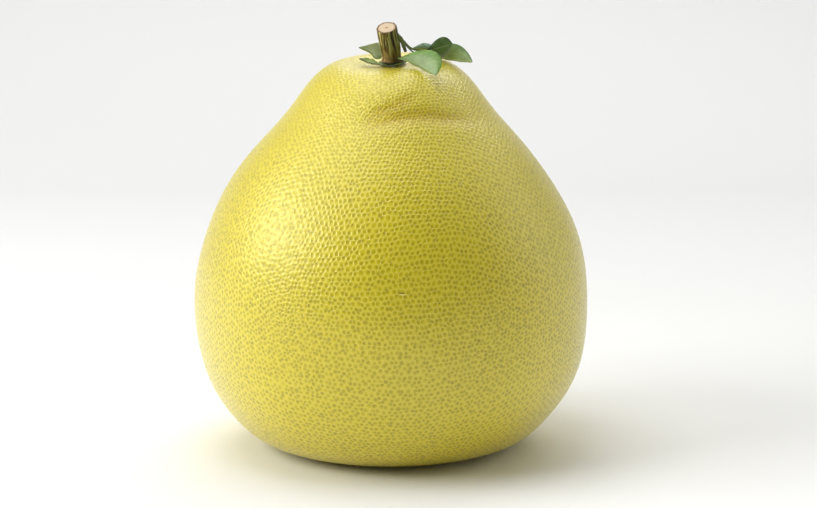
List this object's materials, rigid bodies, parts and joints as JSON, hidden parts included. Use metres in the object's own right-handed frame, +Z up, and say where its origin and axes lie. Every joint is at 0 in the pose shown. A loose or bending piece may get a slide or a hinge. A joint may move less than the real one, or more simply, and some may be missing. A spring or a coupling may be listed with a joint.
{
  "type": "pomelo",
  "caption": "Whole pear-shaped pomelo with a dimpled yellow-green peel, resting upright, with its cut woody stem and small leaves still on.",
  "frame": {"origin": "the middle of the small flat spot that the fruit rests on", "axes": "+Z up from the flat spot through the stem end; -Y is the front, which the stem leans towards; +X to the right, where most of the leaves are"},
  "size_m": [0.1588, 0.1566, 0.1728],
  "materials": {
    "peel": "satin",
    "button": "matte",
    "bark": "matte",
    "twig": "matte",
    "leaf": "satin"
  },
  "bodies": {
    "root": {"fruit": "peel", "button": "button", "stem": "bark", "side_twig": "twig", "stalk_front": "twig", "stalk_back": "twig", "leaf_front_right": "leaf", "leaf_back_left": "leaf", "leaf_low_left": "leaf", "leaf_back_right": "leaf", "leaf_upper_right": "leaf", "leaf_far_right": "leaf"}
  },
  "joints": []
}
